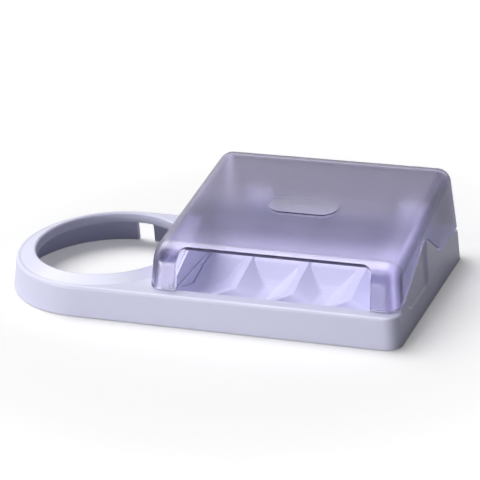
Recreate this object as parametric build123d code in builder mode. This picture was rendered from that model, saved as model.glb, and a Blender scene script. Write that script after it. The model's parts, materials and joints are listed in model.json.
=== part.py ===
from build123d import *
from math import cos, radians, sin, tan
import os

os.makedirs("parts", exist_ok=True)

# All sizes are in millimetres. The origin is on the table, under the middle of the case's outline.
# Places are measured from the centre line of the charger ring: x to the right, y to the back.

# Base moulding
ring_end_radius = 40.5
ring_end_flare = 1.8
box_back = 54.8
deck_height = 13.6
base_draft = 2.9
corner_radius = 6.0
inner_bend_radius = 6.4
step_fillet_share = 0.45
skirt_wall = 2.2
deck_wall = 2.0
deck_edge_radius = 1.4
partition_wall = 2.2

# Charger ring and its raised lip
ring_bore_radius = 31.5
lip_height = 15.9
lip_edge = 0.5
lip_foot_radius = 38.0

# Cable notch in the back of the ring's skirt
notch_width = 7.8
notch_height = 9.0
notch_corner = 1.5

# Lid
lid_left = 31.6
lid_right = 139.2
lid_front_foot = -35.3
lid_front_top = -31.7
lid_front_height = 31.1
lid_back_top = 52.8
lid_back_foot = 54.1
lid_back_height = 42.6
lid_side_lean = 0.09
lid_edge_radius = 6.0
lid_front_radius = 10.0
lid_wall = 1.9
lid_gap = 0.4

# Seam between the lid's side and the base's flank: distance from the ring's centre, height
seam_start = (-32.5, 13.6)
seam_peak = (7.4, 28.2)
seam_valley = (24.6, 15.0)
seam_peak_radius = 6.0
seam_valley_radius = 9.0

# Raised flanks of the base beside the tray
flank_width = 8.4
flank_wall = 2.2
flank_edge_radius = 0.8

# Finger scoop under the lid's diagonal edge, on the right
scoop_front = -29.0
scoop_front_foot = -18.8
scoop_back_foot = 3.0
scoop_back = 6.6
scoop_foot_height = 9.8
scoop_depth = 1.2
scoop_flare = 45.0
scoop_corner = 3.0

# Window in the lid's front: its top edge is cut square to the lid's curve
window_inset = 12.4
window_edge = (-28.3, 30.8)
window_slant = 67.0
window_corner = 4.6

# Bare raised pad on the lid's top
pad_length = 30.0
pad_width = 12.8
pad_y = 9.0
pad_rise = 0.5

# Tray with its troughs
trough_count = 4
trough_pitch = 25.0
trough_offset = -1.0
divider_width = 2.8
tray_gap = 0.2
tray_rim = 1.0
tray_bottom = 0.8
tray_front = -33.7
tray_back = 44.0
tray_corner = 3.0
flange_width = 2.0
flange_thickness = 1.6
lip_level = 13.2
divider_low_y = -10.3
divider_low_height = 5.7
trough_front_floor = 3.0
trough_floor = 2.2
valley_flat = 5.0
valley_radius = 5.0
ramp_start_y = 1.0
ramp_ease = 2.5
ramp_meet_y = 9.5
ramp_meet_height = 10.3
shelf_front_y = 20.0
shelf_height = 16.5
lane_depth = 0.9
lane_corner = 0.8
lane_end_wall = 1.5
end_wall_draft = 0.8
tray_wall = 1.8
pocket_length = 13.0
pocket_width = 9.0
pocket_y = 33.5
pocket_depth = 4.0

# Hinge at the back
hinge_y = 50.6
hinge_height = 18.2
hinge_offset = 34.4
post_width = 12.0
knuckle_radius = 3.1
ear_width = 3.0
ear_height = 7.0
hinge_side_gap = 0.3
swing_gap = 0.5
pin_radius = 1.25
pin_running_gap = 0.05

# Rubber feet
foot_radius = 3.2
foot_thickness = 1.8
foot_proud = 0.2
foot_inset = 5.4
foot_gap = 0.1
boss_wall = 0.7
boss_height = 8.0
ring_foot_inset = 4.9
ring_foot_angle = 225.0

# Sizes worked out from the ones above
base_lean = deck_height * tan(radians(base_draft))
box_left = lid_left - base_lean
right_end = lid_right + base_lean
deck_underside = deck_height - deck_wall
ring_x = (ring_end_radius + ring_end_flare - right_end) / 2
ring_y = (ring_end_radius - box_back) / 2
lid_middle = (lid_left + lid_right) / 2
lid_half_width = (lid_right - lid_left) / 2
front_lean = (lid_front_top - lid_front_foot) / (lid_front_height - deck_height)
back_lean = (lid_back_foot - lid_back_top) / (lid_back_height - deck_height)
top_slope = (lid_back_height - lid_front_height) / (lid_back_top - lid_front_top)
well_left = lid_left + flank_width
well_right = lid_right - flank_width
swing_radius = ((lid_back_foot - hinge_y) ** 2 + (hinge_height - seam_valley[1] - lid_gap) ** 2) ** 0.5
flank_back = hinge_y - swing_radius - swing_gap
ring_foot_radius = ring_end_radius - ring_foot_inset
ring_foot_turn = radians(ring_foot_angle)
foot_places = {
    "ring": (ring_foot_radius * cos(ring_foot_turn), ring_foot_radius * sin(ring_foot_turn)),
    "front_left": (box_left + foot_inset, foot_inset - ring_end_radius),
    "front_right": (right_end - foot_inset, foot_inset - ring_end_radius),
    "rear_left": (box_left + foot_inset, box_back - foot_inset),
    "rear_right": (right_end - foot_inset, box_back - foot_inset),
}
beyond = 200.0
crest_line = (
    (tray_front, lip_level),
    (divider_low_y, divider_low_height),
    (ramp_meet_y, ramp_meet_height),
    (shelf_front_y, shelf_height),
    (tray_back, shelf_height),
)
ramp_rise = (ramp_meet_height - lane_depth - trough_floor) / (ramp_meet_y - ramp_start_y)
floor_line = (
    (tray_front + tray_wall, trough_front_floor),
    (divider_low_y, trough_floor),
    (ramp_start_y - ramp_ease, trough_floor),
    (ramp_start_y, trough_floor + ramp_ease * ramp_rise / 4),
    (ramp_start_y + ramp_ease, trough_floor + ramp_ease * ramp_rise),
    (ramp_meet_y, ramp_meet_height - lane_depth),
    (shelf_front_y, shelf_height - lane_depth),
    (tray_back - lane_end_wall, shelf_height - lane_depth),
)


def level(height):
    """A horizontal plane at this height, centred on the ring."""
    return Plane(origin=(ring_x, ring_y, height))


def side(x):
    """An upright plane across the width: its first axis runs to the back, its second up."""
    return Plane(origin=(ring_x + x, ring_y, 0), x_dir=(0, 1, 0), z_dir=(1, 0, 0))


def front(y):
    """An upright plane facing the front: its first axis runs to the right, its second up."""
    return Plane(origin=(ring_x, ring_y + y, 0), x_dir=(1, 0, 0), z_dir=(0, -1, 0))


def base_block(inset, top):
    """The base's drafted block, drawn in by inset: the ring's end flares more than the straight sides."""
    largest = step_fillet_share * (box_back - ring_end_radius)
    lean = (top - foot_proud) * tan(radians(base_draft))
    with BuildPart() as block:
        for height, drawn_in, flare in (
            (foot_proud, inset, ring_end_flare),
            (top, inset + lean, 0),
        ):
            radius = ring_end_radius - drawn_in
            left = box_left + drawn_in
            right = right_end - drawn_in
            back = box_back - drawn_in
            with BuildSketch(level(height)) as outline:
                with Locations((-flare, 0)):
                    Circle(radius)
                with Locations(((right - flare) / 2, 0)):
                    Rectangle(right + flare, 2 * radius)
                with Locations(((left + right) / 2, (back - radius) / 2)):
                    Rectangle(right - left, back + radius)
                corners = outline.vertices().group_by(Axis.X)[-1]
                corners += outline.vertices().group_by(Axis.Y)[-1].sort_by(Axis.X)[:1]
                fillet(corners, min(corner_radius, largest) - drawn_in / 2)
                bend = outline.vertices().sort_by_distance((left, radius))[:1]
                fillet(bend, min(inner_bend_radius, largest) + drawn_in / 2)
        loft(ruled=True)
    return block.part


def lid_block(inset, foot):
    """The lid's rounded block, drawn in by inset and reaching down to the height foot."""
    top_at_front = lid_front_height - inset - top_slope * lid_front_top
    front_foot = lid_front_foot + inset
    back_foot = lid_back_foot - inset
    front_y = (front_foot + front_lean * (top_at_front - deck_height)) / (1 - front_lean * top_slope)
    back_y = (back_foot - back_lean * (top_at_front - deck_height)) / (1 + back_lean * top_slope)
    front_corner = (front_y, top_at_front + top_slope * front_y)
    back_corner = (back_y, top_at_front + top_slope * back_y)
    above = 2 * lid_back_height
    half_at_foot = lid_half_width - inset + lid_side_lean * (deck_height - foot)
    half_above = half_at_foot - lid_side_lean * (above - foot)
    with BuildPart() as block:
        with BuildSketch(side(lid_left - flank_width)) as profile:
            with BuildLine():
                Polyline(
                    (front_foot - front_lean * (deck_height - foot), foot),
                    front_corner,
                    back_corner,
                    (back_foot + back_lean * (deck_height - foot), foot),
                    close=True,
                )
            make_face()
            fillet(profile.vertices().sort_by_distance(front_corner)[0], lid_front_radius - inset)
            fillet(profile.vertices().sort_by_distance(back_corner)[0], lid_edge_radius - inset)
        extrude(amount=lid_right - lid_left + 2 * flank_width)
        with BuildSketch(front(lid_front_foot - beyond)):
            with BuildLine():
                Polyline(
                    (lid_middle - half_at_foot, foot),
                    (lid_middle - half_above, above),
                    (lid_middle + half_above, above),
                    (lid_middle + half_at_foot, foot),
                    close=True,
                )
            make_face()
        extrude(amount=-2 * beyond, mode=Mode.INTERSECT)
        for wall in (block.faces().sort_by(Axis.X)[0], block.faces().sort_by(Axis.X)[-1]):
            fillet(wall.edges().sort_by(Axis.Z)[1:], lid_edge_radius - inset)
    return block.part


def under_seam(x_from, x_to, rise, back):
    """Everything below the seam, raised by rise, between two places across the width."""
    with BuildPart() as block:
        with BuildSketch(side(x_from)) as profile:
            with BuildLine():
                Polyline(
                    (seam_start[0] - beyond, -beyond),
                    (seam_start[0] - beyond, seam_start[1] + rise),
                    (seam_start[0], seam_start[1] + rise),
                    (seam_peak[0], seam_peak[1] + rise),
                    (seam_valley[0], seam_valley[1] + rise),
                    (back, seam_valley[1] + rise),
                    (back, -beyond),
                    close=True,
                )
            make_face()
            fillet(profile.vertices().sort_by(Axis.Y)[-1], seam_peak_radius)
            valley = (seam_valley[0], seam_valley[1] + rise)
            fillet(profile.vertices().sort_by_distance(valley)[0], seam_valley_radius)
        extrude(amount=x_to - x_from)
    return block.part


def flank_block(x_from, x_to, inset, back):
    """A raised flank, flush with the lid's outside, or with an inset the hollow under it."""
    with BuildPart() as block:
        add(lid_block(inset, deck_underside - inset))
        add(under_seam(x_from, x_to, -inset, back), mode=Mode.INTERSECT)
        if inset == 0:
            outside = block.faces().sort_by(Axis.X)[0 if x_from < lid_left else -1]
            seam = outside.edges().filter_by(lambda e: e.center().Z > seam_valley[1] - lid_gap)
            fillet(seam, flank_edge_radius)
    return block.part


def hinge_places():
    """The two hinge centres across the width, with the word for each side."""
    return (("left", lid_middle - hinge_offset), ("right", lid_middle + hinge_offset))


def knuckle(x_from, width, bore_radius, top, back):
    """A bored hinge knuckle round the hinge line, with a block from it up or down to top."""
    with BuildPart() as block:
        with BuildSketch(side(x_from)):
            with Locations((hinge_y, hinge_height)):
                Circle(knuckle_radius)
            front_edge = hinge_y - knuckle_radius
            with Locations(((front_edge + back) / 2, (hinge_height + top) / 2)):
                Rectangle(back - front_edge, abs(top - hinge_height))
            with Locations((hinge_y, hinge_height)):
                Circle(bore_radius, mode=Mode.SUBTRACT)
        extrude(amount=width)
    return block.part


# Base shell: one open-bottomed moulding with the ring, the deck, both flanks and the hinge posts.
with BuildPart() as base_shell:
    add(base_block(0, deck_height))
    fillet(base_shell.faces().sort_by(Axis.Z)[-1].outer_wire().edges(), deck_edge_radius)
    add(base_block(skirt_wall, deck_underside), mode=Mode.SUBTRACT)
    # Lip round the charger ring
    with BuildSketch(front(0)):
        with BuildLine():
            Polyline(
                (ring_bore_radius, deck_underside),
                (ring_bore_radius, lip_height - lip_edge),
                (ring_bore_radius + lip_edge, lip_height),
                (ring_bore_radius + 2 * lip_edge, lip_height),
                (lip_foot_radius, deck_height),
                (lip_foot_radius, deck_underside),
                close=True,
            )
        make_face()
    revolve(axis=Axis((ring_x, ring_y, 0), (0, 0, 1)))
    # Upright wall between the ring and the box
    with BuildSketch(level(foot_proud)):
        with Locations((ring_bore_radius + lip_edge + partition_wall / 2, 0)):
            Rectangle(partition_wall, 2 * (ring_end_radius - skirt_wall / 2) - 2 * base_lean)
    extrude(amount=deck_underside - foot_proud)
    # Flanks, flush with the lid's sides, and the hollows under them
    for x_from, x_to in ((lid_left - flank_wall, well_left), (well_right, lid_right + flank_wall)):
        add(flank_block(x_from, x_to, 0, flank_back))
    for x_from, x_to in ((lid_left, well_left - flank_wall), (well_right + flank_wall, lid_right)):
        add(flank_block(x_from, x_to, flank_wall, flank_back - flank_wall), mode=Mode.SUBTRACT)
    # Charger bore, tray well and cable notch
    with BuildSketch(level(0)):
        Circle(ring_bore_radius)
    extrude(amount=lid_back_height, mode=Mode.SUBTRACT)
    with BuildSketch(level(deck_underside - flange_thickness)):
        with Locations(((well_left + well_right) / 2, (tray_front + tray_back) / 2)):
            RectangleRounded(well_right - well_left, tray_back - tray_front, tray_corner)
    extrude(amount=deck_height, mode=Mode.SUBTRACT)
    with BuildSketch(front(ring_end_radius + skirt_wall)):
        with Locations((0, notch_height / 2)):
            RectangleRounded(notch_width, notch_height, notch_corner)
        with Locations((0, notch_height / 4)):
            Rectangle(notch_width, notch_height / 2)
    extrude(amount=3 * skirt_wall, mode=Mode.SUBTRACT)
    # Hinge posts
    for _, x in hinge_places():
        add(knuckle(x - post_width / 2, post_width, pin_radius + pin_running_gap,
                    deck_underside, hinge_y + knuckle_radius))
    # Finger scoop in the right side, parallel to the leaning wall, with flared edges
    wall = Plane(origin=(ring_x + lid_right - scoop_depth, ring_y, deck_height), x_dir=(0, 1, 0),
                 z_dir=(1, 0, lid_side_lean))
    with BuildSketch(wall) as scoop:
        with BuildLine():
            Polyline(
                (scoop_front, 0),
                (scoop_front_foot, scoop_foot_height - deck_height),
                (scoop_back_foot, scoop_foot_height - deck_height),
                (scoop_back, seam_peak[1] - deck_height),
                close=True,
            )
        make_face()
        fillet(scoop.vertices().sort_by(Axis.Y)[:3], scoop_corner)
    extrude(amount=2 * scoop_depth, taper=-scoop_flare, mode=Mode.SUBTRACT)
    # Bosses that hold the feet
    with BuildSketch(level(foot_proud)):
        with Locations(*foot_places.values()):
            Circle(foot_radius + boss_wall)
    extrude(amount=boss_height)
    with BuildSketch(level(foot_proud)):
        with Locations(*foot_places.values()):
            Circle(foot_radius + foot_gap)
    extrude(amount=foot_thickness - foot_proud, mode=Mode.SUBTRACT)
base_shell.part.label = "base_shell"
export_step(base_shell.part, "parts/base_shell.step")


def divider_place(index):
    """Where the middle of a divider, or of an end wall, lies across the width."""
    return lid_middle + trough_offset + (index - trough_count / 2) * trough_pitch


def height_along(line, y):
    """The height of a line of (place, height) points at the place y."""
    for (y_from, h_from), (y_to, h_to) in zip(line, line[1:]):
        if y <= y_to:
            break
    return h_from + (h_to - h_from) * (y - y_from) / (y_to - y_from)


def trough_side(edge, middle, crest, floor, ends_here, outward):
    """Upper points of one side of a trough's section, its foot and the foot's rounding."""
    if ends_here:
        return (edge, 2 * lid_back_height), None, (edge - outward * end_wall_draft, floor), valley_radius
    share = (floor - trough_floor) / (crest - trough_floor)
    foot = middle + outward * valley_flat / 2
    foot += share * (edge - foot)
    slope = (crest - floor) / abs(edge - foot)
    over = edge + outward * divider_width / 2
    crown = (over, crest + slope * divider_width / 2)
    return (over, 2 * lid_back_height), crown, (foot, floor), max(lane_corner, valley_radius * (1 - share))


def trough(index):
    """The space of one trough: a rounded valley that ends at a ramp, then a shallow lane to the back."""
    left = max(divider_place(index) + divider_width / 2, well_left + tray_gap + tray_rim)
    right = min(divider_place(index + 1) - divider_width / 2, well_right - tray_gap - tray_rim)
    middle = divider_place(index) + trough_pitch / 2
    with BuildPart() as space:
        for y, floor in floor_line:
            crest = height_along(crest_line, y)
            left_top, left_crown, left_foot, left_round = trough_side(
                left, middle, crest, floor, index == 0, -1)
            right_top, right_crown, right_foot, right_round = trough_side(
                right, middle, crest, floor, index == trough_count - 1, 1)
            points = [left_top, left_crown, left_foot, right_foot, right_crown, right_top]
            points = [point for point in points if point]
            with BuildSketch(front(y)) as section:
                with BuildLine():
                    Polyline(*points, close=True)
                make_face()
                for foot, rounding in ((left_foot, left_round), (right_foot, right_round)):
                    fillet(section.vertices().sort_by_distance(foot)[0], rounding)
        loft(ruled=True)
    return space.part


def side_wall(x_from):
    """A thin side wall of the tray that lines a flank, up to the flank's own top."""
    wall_front = tray_front + tray_corner
    wall_back = tray_back - tray_corner
    with BuildPart() as wall:
        with BuildSketch(level(tray_bottom)):
            with Locations((x_from + tray_rim / 2, (wall_front + wall_back) / 2)):
                Rectangle(tray_rim, wall_back - wall_front)
        extrude(amount=seam_peak[1])
        add(under_seam(x_from, x_from + tray_rim, 0, wall_back), mode=Mode.INTERSECT)
    return wall.part


# Tray: an insert welded under the deck, with a trough for each brush head.
with BuildPart() as head_tray:
    with BuildSketch(level(tray_bottom)):
        with Locations(((well_left + well_right) / 2, (tray_front + tray_back) / 2)):
            RectangleRounded(well_right - well_left - 2 * tray_gap,
                             tray_back - tray_front - 2 * tray_gap, tray_corner - tray_gap)
    extrude(amount=shelf_height)
    with BuildSketch(side(well_left)):
        with BuildLine():
            Polyline((tray_front, 0), *crest_line, (tray_back, 0), close=True)
        make_face()
    extrude(amount=well_right - well_left, mode=Mode.INTERSECT)
    add(side_wall(well_left + tray_gap))
    add(side_wall(well_right - tray_gap - tray_rim))
    for index in range(trough_count):
        add(trough(index), mode=Mode.SUBTRACT)
    # Hollow under the ramp and the shelf
    inside = well_right - well_left - 2 * tray_gap - 2 * tray_wall
    with BuildSketch(side((well_left + well_right - inside) / 2)):
        with BuildLine():
            Polyline(
                (ramp_start_y + ramp_ease, trough_floor - tray_wall),
                (ramp_meet_y, ramp_meet_height - lane_depth - tray_wall),
                (shelf_front_y, shelf_height - lane_depth - tray_wall),
                (tray_back - tray_gap - tray_wall, shelf_height - lane_depth - tray_wall),
                (tray_back - tray_gap - tray_wall, trough_floor - tray_wall),
                close=True,
            )
        make_face()
    extrude(amount=inside, mode=Mode.SUBTRACT)
    # Deep oval finger pockets on the divider lines
    pocket_places = [(divider_place(index), pocket_y) for index in range(1, trough_count)]
    with BuildSketch(level(shelf_height - lane_depth - tray_wall)):
        with Locations(*pocket_places):
            SlotOverall(pocket_length + 2 * tray_wall, pocket_width + 2 * tray_wall, rotation=90)
    extrude(amount=-pocket_depth)
    with BuildSketch(level(shelf_height)):
        with Locations(*pocket_places):
            SlotOverall(pocket_length, pocket_width, rotation=90)
    extrude(amount=-pocket_depth, mode=Mode.SUBTRACT)
    # Flange under the deck
    with BuildSketch(level(deck_underside)):
        with Locations(((well_left + well_right) / 2, (tray_front + tray_back) / 2)):
            RectangleRounded(well_right - well_left + 2 * flange_width,
                             tray_back - tray_front + 2 * flange_width, tray_corner + flange_width)
            RectangleRounded(well_right - well_left - 2 * tray_wall,
                             tray_back - tray_front - 2 * tray_wall, tray_corner - tray_wall,
                             mode=Mode.SUBTRACT)
    extrude(amount=-flange_thickness)
head_tray.part.label = "head_tray"
export_step(head_tray.part, "parts/head_tray.step")


# Lid: one translucent moulding with the front window and the four hinge ears.
with BuildPart() as lid:
    add(lid_block(0, seam_start[1]))
    add(lid_block(lid_wall, seam_start[1] - lid_wall), mode=Mode.SUBTRACT)
    add(under_seam(lid_left - flank_width, lid_right + flank_width, lid_gap, box_back + lid_wall),
        mode=Mode.SUBTRACT)
    slant = radians(window_slant)
    across = Plane(origin=(ring_x + lid_middle, ring_y + window_edge[0], window_edge[1]),
                   x_dir=(1, 0, 0), z_dir=(0, -cos(slant), sin(slant)))
    with BuildSketch(across) as window:
        with Locations((0, -lid_front_height / 2)):
            Rectangle(lid_right - lid_left - 2 * window_inset, lid_front_height)
        fillet(window.vertices().group_by(Axis.Y)[-1], window_corner)
    extrude(amount=lid_front_height, both=True, mode=Mode.SUBTRACT)
    # Notches in the back wall for the hinge posts, and an ear each side of each post
    notch = post_width + 2 * hinge_side_gap
    with BuildSketch(front(hinge_y)):
        with Locations(*[(x, 0) for _, x in hinge_places()]):
            Rectangle(notch, 2 * (hinge_height + knuckle_radius + swing_gap))
    extrude(amount=-2 * (lid_back_foot - hinge_y), mode=Mode.SUBTRACT)
    for _, x in hinge_places():
        for x_from in (x - notch / 2 - ear_width, x + notch / 2):
            add(knuckle(x_from, ear_width, pin_radius, hinge_height + ear_height,
                        lid_back_foot - lid_wall / 2))
    # Bare raised pad on the top, parallel to its slope
    top = Plane(origin=(ring_x + lid_middle, ring_y + pad_y,
                        lid_front_height + top_slope * (pad_y - lid_front_top)),
                x_dir=(1, 0, 0), z_dir=(0, -top_slope, 1))
    with BuildSketch(top):
        SlotOverall(pad_length, pad_width)
    extrude(amount=pad_rise)
lid.part.label = "lid"
export_step(lid.part, "parts/lid.step")


# Hinge pins: steel, tight in the lid's ears and free in the base's posts.
for word, x in hinge_places():
    reach = post_width / 2 + hinge_side_gap + ear_width
    with BuildPart() as hinge_pin:
        with BuildSketch(side(x - reach)):
            with Locations((hinge_y, hinge_height)):
                Circle(pin_radius)
        extrude(amount=2 * reach)
    hinge_pin.part.label = "hinge_pin_" + word
    export_step(hinge_pin.part, "parts/hinge_pin_" + word + ".step")


# Rubber feet, glued into the bosses.
for word, place in foot_places.items():
    with BuildPart() as rubber_foot:
        with BuildSketch(level(0)):
            with Locations(place):
                Circle(foot_radius)
        extrude(amount=foot_thickness)
    rubber_foot.part.label = "foot_" + word
    export_step(rubber_foot.part, "parts/foot_" + word + ".step")
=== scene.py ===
import bpy
import json
import math
from mathutils import Matrix, Vector

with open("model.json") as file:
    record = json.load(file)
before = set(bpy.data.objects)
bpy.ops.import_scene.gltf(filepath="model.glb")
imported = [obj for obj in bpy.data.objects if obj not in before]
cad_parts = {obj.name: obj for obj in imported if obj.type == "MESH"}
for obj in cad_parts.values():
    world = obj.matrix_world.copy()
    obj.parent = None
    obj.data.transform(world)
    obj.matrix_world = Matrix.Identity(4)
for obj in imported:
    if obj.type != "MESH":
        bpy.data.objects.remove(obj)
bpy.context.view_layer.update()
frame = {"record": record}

# The charger ring's centre on the floor, which the camera is placed from. The mount that
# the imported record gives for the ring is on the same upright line.
ring_mount = next(m for m in frame["record"]["mounts"] if m["name"] == "charger_ring")
ring_centre = Vector((ring_mount["pos_m"][0], ring_mount["pos_m"][1], 0.0))


# The camera stands front right and a little above, about a metre away, as in the photograph.
# Its angles are in degrees and its place is measured from the ring's centre, in metres.
photo_width = 480
sensor_width = 36.0
camera_place = Vector((0.38084, -0.79610, 0.40056))
camera_azimuth = math.radians(21.968)
camera_elevation = math.radians(23.754)
camera_roll = math.radians(-3.75)
focal_pixels = 2259.9

sight = Vector((
    -math.sin(camera_azimuth) * math.cos(camera_elevation),
    math.cos(camera_azimuth) * math.cos(camera_elevation),
    -math.sin(camera_elevation),
))
level_right = Vector((math.cos(camera_azimuth), math.sin(camera_azimuth), 0.0))
level_up = level_right.cross(sight)
camera_right = level_right * math.cos(camera_roll) + level_up * math.sin(camera_roll)
camera_up = level_up * math.cos(camera_roll) - level_right * math.sin(camera_roll)
camera_data = bpy.data.cameras.new("photo_camera")
camera_data.sensor_width = sensor_width
camera_data.lens = focal_pixels / photo_width * sensor_width
camera = bpy.data.objects.new("photo_camera", camera_data)
bpy.context.scene.collection.objects.link(camera)
turned = Matrix((camera_right, camera_up, -sight)).transposed().to_4x4()
camera.matrix_world = Matrix.Translation(ring_centre + camera_place) @ turned
bpy.context.scene.camera = camera


# White mouldings: the base shell and the tray are injection-moulded in the same cool white
# plastic, with a satin skin, a very fine grain and slight flow marks from the mould.
def calculate(tree, operation, *values):
    """A maths node on these values, each a number or another node's output."""
    step = tree.nodes.new("ShaderNodeMath")
    step.operation = operation
    for socket, value in zip(step.inputs, values):
        if isinstance(value, (int, float)):
            socket.default_value = value
        else:
            tree.links.new(value, socket)
    return step.outputs[0]


def moulded_skin_group():
    """Colour, roughness and bump of a moulded plastic skin, as one node group."""
    group = bpy.data.node_groups.new("moulded_skin", "ShaderNodeTree")
    for name, kind in (
        ("Colour", "NodeSocketColor"),
        ("Flow Marks", "NodeSocketFloat"),
        ("Roughness", "NodeSocketFloat"),
        ("Roughness Spread", "NodeSocketFloat"),
        ("Grain Scale", "NodeSocketFloat"),
        ("Grain Depth", "NodeSocketFloat"),
    ):
        group.interface.new_socket(name, in_out="INPUT", socket_type=kind)
    for name, kind in (
        ("Colour", "NodeSocketColor"),
        ("Roughness", "NodeSocketFloat"),
        ("Normal", "NodeSocketVector"),
    ):
        group.interface.new_socket(name, in_out="OUTPUT", socket_type=kind)
    nodes, links = group.nodes, group.links
    inside = nodes.new("NodeGroupInput")
    outside = nodes.new("NodeGroupOutput")
    place = nodes.new("ShaderNodeTexCoord")

    flow = nodes.new("ShaderNodeTexNoise")
    flow.inputs["Scale"].default_value = 38.0
    flow.inputs["Detail"].default_value = 3.0
    links.new(place.outputs["Object"], flow.inputs["Vector"])
    centred = calculate(group, "SUBTRACT", flow.outputs["Fac"], 0.5)
    marks = calculate(group, "MULTIPLY_ADD", centred, inside.outputs["Flow Marks"], 1.0)
    tinted = nodes.new("ShaderNodeHueSaturation")
    links.new(marks, tinted.inputs["Value"])
    links.new(inside.outputs["Colour"], tinted.inputs["Color"])
    links.new(tinted.outputs["Color"], outside.inputs["Colour"])

    patches = nodes.new("ShaderNodeTexNoise")
    patches.inputs["Scale"].default_value = 160.0
    patches.inputs["Detail"].default_value = 4.0
    links.new(place.outputs["Object"], patches.inputs["Vector"])
    spread = calculate(group, "MULTIPLY", patches.outputs["Fac"], inside.outputs["Roughness Spread"])
    rough = calculate(group, "ADD", spread, inside.outputs["Roughness"])
    links.new(rough, outside.inputs["Roughness"])

    grain = nodes.new("ShaderNodeTexNoise")
    grain.inputs["Detail"].default_value = 2.0
    links.new(place.outputs["Object"], grain.inputs["Vector"])
    links.new(inside.outputs["Grain Scale"], grain.inputs["Scale"])
    bump = nodes.new("ShaderNodeBump")
    bump.inputs["Strength"].default_value = 0.5
    links.new(grain.outputs["Fac"], bump.inputs["Height"])
    links.new(inside.outputs["Grain Depth"], bump.inputs["Distance"])
    links.new(bump.outputs["Normal"], outside.inputs["Normal"])
    return group


moulded_skin = moulded_skin_group()


def skin_material(name, skin, shader):
    """A material with the moulded skin; skin sets the group's inputs, shader the Principled's."""
    material = bpy.data.materials.new(name)
    material.use_nodes = True
    tree = material.node_tree
    principled = tree.nodes["Principled BSDF"]
    placed = tree.nodes.new("ShaderNodeGroup")
    placed.node_tree = moulded_skin
    for socket, value in skin.items():
        placed.inputs[socket].default_value = value
    for socket, value in shader.items():
        principled.inputs[socket].default_value = value
    tree.links.new(placed.outputs["Colour"], principled.inputs["Base Color"])
    tree.links.new(placed.outputs["Roughness"], principled.inputs["Roughness"])
    tree.links.new(placed.outputs["Normal"], principled.inputs["Normal"])
    return material


white_plastic = skin_material(
    "white_plastic",
    {
        "Colour": (0.79, 0.79, 0.98, 1.0),
        "Flow Marks": 0.05,
        "Roughness": 0.28,
        "Roughness Spread": 0.10,
        "Grain Scale": 2600.0,
        "Grain Depth": 0.00002,
    },
    {"IOR": 1.49, "Coat Weight": 0.08, "Coat Roughness": 0.15},
)


def dress(node, material):
    """Gives a CAD node its finish."""
    piece = bpy.data.objects[node]
    piece.data.materials.clear()
    piece.data.materials.append(material)


dress("base_shell", white_plastic)
dress("head_tray", white_plastic)


# Lid: one thin moulding in smoky violet plastic. Its faces are softly frosted, so what lies
# under it shows only as soft light and dark, and long ways through it, as at a rim, are dark.
smoke_plastic = skin_material(
    "smoke_plastic",
    {
        "Colour": (0.92, 0.88, 1.0, 1.0),
        "Flow Marks": 0.04,
        "Roughness": 0.20,
        "Roughness Spread": 0.06,
        "Grain Scale": 2600.0,
        "Grain Depth": 0.00002,
    },
    {"IOR": 1.49, "Transmission Weight": 0.96, "Specular IOR Level": 0.4},
)


def let_lamps_through(material, share):
    """Lets this share of the lamps' light straight through each face, as thin clear plastic does."""
    tree = material.node_tree
    light = tree.nodes.new("ShaderNodeLightPath")
    solid = calculate(tree, "MULTIPLY_ADD", light.outputs["Is Shadow Ray"], -share, 1.0)
    tree.links.new(solid, tree.nodes["Principled BSDF"].inputs["Alpha"])


def tint_through(material, colour, density):
    """Darkens light by the way that it goes inside the plastic."""
    tree = material.node_tree
    absorb = tree.nodes.new("ShaderNodeVolumeAbsorption")
    absorb.inputs["Color"].default_value = colour
    absorb.inputs["Density"].default_value = density
    tree.links.new(absorb.outputs["Volume"], tree.nodes["Material Output"].inputs["Volume"])


def facing_mask(tree, direction, narrow, wide):
    """1 on faces that look in this direction, to 0 on others; narrow and wide are cosines."""
    place = tree.nodes.new("ShaderNodeTexCoord")
    along = tree.nodes.new("ShaderNodeVectorMath")
    along.operation = "DOT_PRODUCT"
    along.inputs[1].default_value = Vector(direction).normalized()
    tree.links.new(place.outputs["Normal"], along.inputs[0])
    mask = tree.nodes.new("ShaderNodeMapRange")
    mask.interpolation_type = "SMOOTHSTEP"
    mask.inputs["From Min"].default_value = wide
    mask.inputs["From Max"].default_value = narrow
    tree.links.new(along.outputs["Value"], mask.inputs["Value"])
    return mask.outputs["Result"]


def height_mask(tree, low, high):
    """1 below the height low, 0 above high."""
    place = tree.nodes.new("ShaderNodeTexCoord")
    split = tree.nodes.new("ShaderNodeSeparateXYZ")
    tree.links.new(place.outputs["Object"], split.inputs[0])
    mask = tree.nodes.new("ShaderNodeMapRange")
    mask.inputs["From Min"].default_value = high
    mask.inputs["From Max"].default_value = low
    tree.links.new(split.outputs["Z"], mask.inputs["Value"])
    return mask.outputs["Result"]


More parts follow.
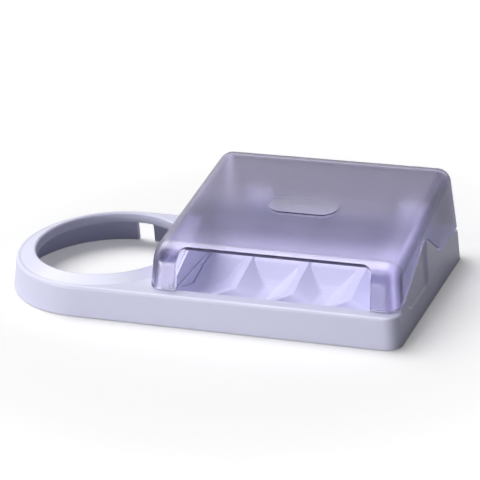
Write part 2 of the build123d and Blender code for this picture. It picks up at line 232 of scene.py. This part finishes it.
def pill_mask(tree, centre, half_run, inner, outer):
    """1 inside an upright pill shape whose run lies along X, falling to 0 from inner to outer."""
    place = tree.nodes.new("ShaderNodeTexCoord")
    offset = tree.nodes.new("ShaderNodeVectorMath")
    offset.operation = "SUBTRACT"
    offset.inputs[1].default_value = centre
    tree.links.new(place.outputs["Object"], offset.inputs[0])
    split = tree.nodes.new("ShaderNodeSeparateXYZ")
    tree.links.new(offset.outputs["Vector"], split.inputs[0])
    along = calculate(tree, "ABSOLUTE", split.outputs["X"])
    past_run = calculate(tree, "SUBTRACT", along, half_run)
    beyond_run = calculate(tree, "MAXIMUM", past_run, 0.0)
    flat = tree.nodes.new("ShaderNodeCombineXYZ")
    tree.links.new(beyond_run, flat.inputs["X"])
    tree.links.new(split.outputs["Y"], flat.inputs["Y"])
    reach = tree.nodes.new("ShaderNodeVectorMath")
    reach.operation = "LENGTH"
    tree.links.new(flat.outputs["Vector"], reach.inputs[0])
    mask = tree.nodes.new("ShaderNodeMapRange")
    mask.interpolation_type = "SMOOTHSTEP"
    mask.inputs["From Min"].default_value = outer
    mask.inputs["From Max"].default_value = inner
    tree.links.new(reach.outputs["Value"], mask.inputs["Value"])
    return mask.outputs["Result"]


def tint_where(material, mask, colour):
    """Puts another tint where the mask is 1, over the colour that the skin gives."""
    tree = material.node_tree
    base = tree.nodes["Principled BSDF"].inputs["Base Color"]
    under = base.links[0].from_socket
    tint = tree.nodes.new("ShaderNodeMix")
    tint.data_type = "RGBA"
    tint.inputs["B"].default_value = colour
    tree.links.new(mask, tint.inputs["Factor"])
    tree.links.new(under, tint.inputs["A"])
    tree.links.new(tint.outputs["Result"], base)


# The lid's middle over the tray, and the raised pill on its top, in metres.
lid_middle = 0.0854
pill_centre = ring_centre + Vector((lid_middle, 0.0090, 0.0))
pill_half_run = 0.0086
pill_edge = (0.0063, 0.0065)

# A darker band with a soft edge, tinted across the middle of the top. It stands in for the soft
# shade that shows there through the plastic.
band_centre = ring_centre + Vector((lid_middle, -0.0060, 0.0))
band_half_run = 0.0340
band_edge = (0.0040, 0.0260)

# The lid's rims stand on the deck, up to this height.
rim_low = 0.0150
rim_high = 0.0160

# Tints by place, over the plastic's own colour; all but the pill's are painted shade. Cut edges get
# the darkest, painted shade for the dark that shows where the eye looks along the inside of the
# smoky wall: the top edge of the window and the rims. The upright front and right side get painted
# shade, darker than the top, and the raised pill is the palest.
lid_tree = smoke_plastic.node_tree
upward = facing_mask(lid_tree, (0.0, -0.1, 1.0), narrow=0.97, wide=0.80)
downward = facing_mask(lid_tree, (0.0, 0.0, -1.0), narrow=0.97, wide=0.90)
front_side = facing_mask(lid_tree, (0.0, -0.95, 0.30), narrow=0.97, wide=0.75)
right_side = facing_mask(lid_tree, (1.0, 0.0, 0.1), narrow=0.95, wide=0.60)
window_edge = facing_mask(lid_tree, (0.0, -0.92, -0.39), narrow=0.97, wide=0.90)
near_deck = height_mask(lid_tree, rim_low, rim_high)
on_pill = pill_mask(lid_tree, pill_centre, pill_half_run, *pill_edge)
on_band = pill_mask(lid_tree, band_centre, band_half_run, *band_edge)
# Painted shade for the cut edges: the window's top edge and the rims' foot faces on the deck.
painted_edge_shade = (0.05, 0.04, 0.10, 1.0)
for mask, tint in (
    (calculate(lid_tree, "MULTIPLY", upward, on_band), (0.36, 0.345, 0.46, 1.0)),
    (front_side, (0.46, 0.44, 0.57, 1.0)),
    (right_side, (0.34, 0.33, 0.50, 1.0)),
    (window_edge, painted_edge_shade),
    (calculate(lid_tree, "MULTIPLY", downward, near_deck), painted_edge_shade),
    (calculate(lid_tree, "MULTIPLY", upward, on_pill), (1.0, 1.0, 1.0, 1.0)),
):
    tint_where(smoke_plastic, mask, tint)
let_lamps_through(smoke_plastic, share=0.95)
tint_through(smoke_plastic, (0.47, 0.46, 0.62, 1.0), density=230.0)
dress("lid", smoke_plastic)


# Hinge pins: short lengths of drawn steel wire.
pin_steel = skin_material(
    "pin_steel",
    {
        "Colour": (0.56, 0.56, 0.58, 1.0),
        "Flow Marks": 0.10,
        "Roughness": 0.22,
        "Roughness Spread": 0.15,
        "Grain Scale": 4000.0,
        "Grain Depth": 0.00001,
    },
    {"Metallic": 1.0},
)
for side in ("left", "right"):
    dress("hinge_pin_" + side, pin_steel)


# Rubber feet: soft black discs glued into the bosses under the base.
foot_rubber = skin_material(
    "foot_rubber",
    {
        "Colour": (0.03, 0.03, 0.035, 1.0),
        "Flow Marks": 0.25,
        "Roughness": 0.65,
        "Roughness Spread": 0.20,
        "Grain Scale": 3000.0,
        "Grain Depth": 0.00005,
    },
    {"IOR": 1.5},
)
for place in ("ring", "front_left", "front_right", "rear_left", "rear_right"):
    dress("foot_" + place, foot_rubber)


# Studio: a white floor that keeps the case's shadow, a white surround and soft lamps. What the
# camera sees of floor and surround is white; what lights the case from them is much weaker.
def seen_directly(tree):
    """A value that is 1 for what the camera sees, straight, in a reflection or through plastic."""
    path = tree.nodes.new("ShaderNodeLightPath")
    seen = path.outputs["Is Camera Ray"]
    for ray in ("Is Glossy Ray", "Is Transmission Ray"):
        seen = calculate(tree, "MAXIMUM", seen, path.outputs[ray])
    unscattered = calculate(tree, "LESS_THAN", path.outputs["Diffuse Depth"], 0.5)
    return calculate(tree, "MULTIPLY", seen, unscattered)


def dimmer_in_reflections(tree, value, share):
    """The value, but only this share of it for what is seen in a reflection."""
    path = tree.nodes.new("ShaderNodeLightPath")
    kept = calculate(tree, "MULTIPLY_ADD", path.outputs["Is Glossy Ray"], share - 1.0, 1.0)
    return calculate(tree, "MULTIPLY", value, kept)


def floor_material():
    """White floor; what is seen of it is lifted to the white of the surround, more so far out."""
    material = bpy.data.materials.new("studio_white")
    material.use_nodes = True
    tree = material.node_tree
    principled = tree.nodes["Principled BSDF"]
    principled.inputs["Roughness"].default_value = 0.9
    principled.inputs["Specular IOR Level"].default_value = 0.0
    principled.inputs["Emission Color"].default_value = (1.0, 1.0, 1.0, 1.0)
    seen = dimmer_in_reflections(tree, seen_directly(tree), share=0.5)
    tone = tree.nodes.new("ShaderNodeMix")
    tone.data_type = "RGBA"
    tone.inputs["A"].default_value = (0.40, 0.40, 0.45, 1.0)
    tone.inputs["B"].default_value = (1.0, 1.0, 1.0, 1.0)
    tree.links.new(seen, tone.inputs["Factor"])
    tree.links.new(tone.outputs["Result"], principled.inputs["Base Color"])
    place = tree.nodes.new("ShaderNodeTexCoord")
    reach = tree.nodes.new("ShaderNodeVectorMath")
    reach.operation = "LENGTH"
    tree.links.new(place.outputs["Object"], reach.inputs[0])
    rise = tree.nodes.new("ShaderNodeMapRange")
    rise.interpolation_type = "SMOOTHSTEP"
    rise.inputs["From Min"].default_value = 0.09
    rise.inputs["From Max"].default_value = 0.30
    rise.inputs["To Min"].default_value = 0.18
    rise.inputs["To Max"].default_value = 0.60
    tree.links.new(reach.outputs["Value"], rise.inputs["Value"])
    lift = calculate(tree, "MULTIPLY", seen, rise.outputs["Result"])
    tree.links.new(lift, principled.inputs["Emission Strength"])
    return material


bpy.ops.mesh.primitive_plane_add(size=8.0, location=(0, 0, -0.0001))
studio_floor = bpy.context.object
studio_floor.name = "studio_floor"
studio_floor.data.materials.append(floor_material())


def studio_world():
    """White surround where the camera looks; mirrored in the case, it is dimmer in front."""
    surround = bpy.data.worlds.new("studio_world")
    surround.use_nodes = True
    tree = surround.node_tree
    sky = tree.nodes["Background"]
    sky.inputs["Color"].default_value = (0.97, 0.97, 1.0, 1.0)
    place = tree.nodes.new("ShaderNodeTexCoord")
    along = tree.nodes.new("ShaderNodeVectorMath")
    along.operation = "DOT_PRODUCT"
    along.inputs[1].default_value = Vector((-0.35, 0.80, 0.50)).normalized()
    tree.links.new(place.outputs["Generated"], along.inputs[0])
    mirrored = tree.nodes.new("ShaderNodeMapRange")
    mirrored.interpolation_type = "SMOOTHSTEP"
    mirrored.inputs["From Min"].default_value = -0.25
    mirrored.inputs["From Max"].default_value = 0.65
    mirrored.inputs["To Min"].default_value = 0.22
    mirrored.inputs["To Max"].default_value = 1.0
    tree.links.new(along.outputs["Value"], mirrored.inputs["Value"])
    path = tree.nodes.new("ShaderNodeLightPath")
    straight = calculate(
        tree, "MAXIMUM", path.outputs["Is Camera Ray"], path.outputs["Is Transmission Ray"])
    strength = tree.nodes.new("ShaderNodeMapRange")
    strength.inputs["To Min"].default_value = 0.10
    shown = calculate(tree, "MAXIMUM", straight, mirrored.outputs["Result"])
    tree.links.new(shown, strength.inputs["To Max"])
    tree.links.new(seen_directly(tree), strength.inputs["Value"])
    tree.links.new(strength.outputs["Result"], sky.inputs["Strength"])
    return surround


bpy.context.scene.world = studio_world()


def soft_lamp(name, direction, distance, width, height, power):
    """A soft lamp with a flat, oblong face, in the given direction and aimed at the case."""
    data = bpy.data.lights.new(name, "AREA")
    data.shape = "RECTANGLE"
    data.size = width
    data.size_y = height
    data.energy = power
    lamp = bpy.data.objects.new(name, data)
    bpy.context.scene.collection.objects.link(lamp)
    toward = Vector(direction).normalized()
    lamp.location = toward * distance
    lamp.rotation_euler = toward.to_track_quat("Z", "Y").to_euler()


soft_lamp(
    "key_lamp", (-0.42, 0.18, 0.88), distance=2.2, width=1.5, height=1.9, power=40.5)
soft_lamp(
    "front_lamp", (-0.55, -0.83, 0.040), distance=1.5, width=1.1, height=0.14, power=13.5)

# A narrow spot from the upper left front reaches into the troughs through the window.
spot_data = bpy.data.lights.new("trough_lamp", "SPOT")
spot_data.energy = 8.0
spot_data.spot_size = math.radians(6.5)
spot_data.spot_blend = 0.8
spot_data.shadow_soft_size = 0.08
spot_lamp = bpy.data.objects.new("trough_lamp", spot_data)
bpy.context.scene.collection.objects.link(spot_lamp)
trough_middle = ring_centre + Vector((0.0890, -0.0080, 0.0080))
spot_distance = 1.2
spot_toward = Vector((-0.25, -0.55, 0.80)).normalized()
spot_lamp.location = trough_middle + spot_toward * spot_distance
spot_lamp.rotation_euler = spot_toward.to_track_quat("Z", "Y").to_euler()

bpy.context.scene.view_settings.view_transform = "Standard"
